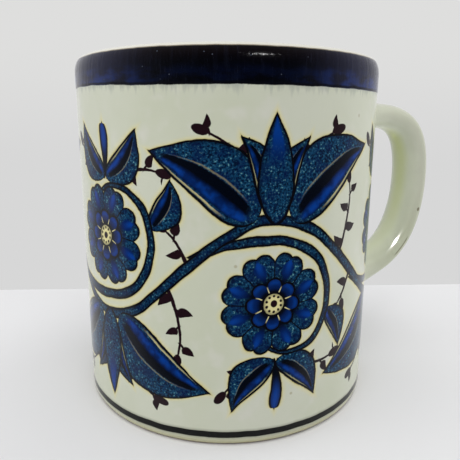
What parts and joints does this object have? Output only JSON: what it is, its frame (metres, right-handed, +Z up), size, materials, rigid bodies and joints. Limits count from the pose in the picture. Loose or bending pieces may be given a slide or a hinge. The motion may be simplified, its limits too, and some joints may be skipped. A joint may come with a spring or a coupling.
{
  "type": "mug",
  "caption": "Straight-sided glazed earthenware mug with a thinned lip, a turned foot ring and a strap handle luted to the wall at both roots.",
  "frame": {"origin": "on the surface that the mug stands on, at the middle of the bounding box of cup and handle together; the cup's axis is 15.35 mm from it towards -X", "axes": "+Z up along the cup's axis, +X from the cup towards the handle, +Y across the handle's strap"},
  "size_m": [0.1336, 0.103, 0.1145],
  "materials": {
    "cup_glaze": "glossy pale celadon glaze with underglaze painting in blue, purple and ochre; bare clay on the foot ring",
    "handle_glaze": "glossy pale celadon glaze, greener where it pools on the inside of the curve",
    "slip_glaze": "the same glaze over a smoothed bead of slip"
  },
  "bodies": {
    "root": {"cup_body": "cup_glaze", "handle": "handle_glaze", "upper_slip_joint": "slip_glaze", "lower_slip_joint": "slip_glaze"}
  },
  "joints": []
}
